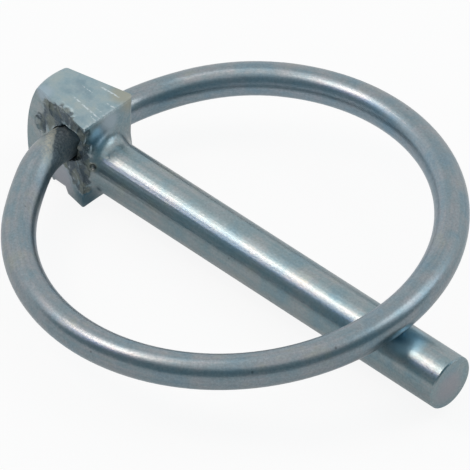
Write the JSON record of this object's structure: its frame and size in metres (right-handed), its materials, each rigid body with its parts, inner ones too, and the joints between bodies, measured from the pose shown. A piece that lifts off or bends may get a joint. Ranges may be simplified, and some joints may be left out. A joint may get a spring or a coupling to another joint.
{
  "type": "lynch pin",
  "caption": "Round steel pin with a crowned block head, and a ring of round spring wire that turns in the head and swings down over the shank to keep the pin in its hole.",
  "frame": {"origin": "on the pin's axis, at the flat shoulder of the head that the shank stands out of", "axes": "+X along the shank to its tip; +Z to the side of the shank that the closed ring lies on, which is also the head's taller side; -Y to the side of the head that the ring was punched in from"},
  "size_m": [0.0586, 0.0487, 0.0115],
  "materials": {
    "pin": "bright zinc plate over forged steel",
    "ring": "bright zinc plate over drawn spring wire"
  },
  "bodies": {
    "pin": {"pin": "pin"},
    "ring": {"ring": "ring"}
  },
  "joints": [
    {"name": "ring_swing", "type": "hinge", "parent": "pin", "child": "ring", "pos_m": [-0.00375, 0, 0.0018], "axis": [-0.0087, -0.9965, 0.0828], "range_deg": [0, 347]}
  ]
}
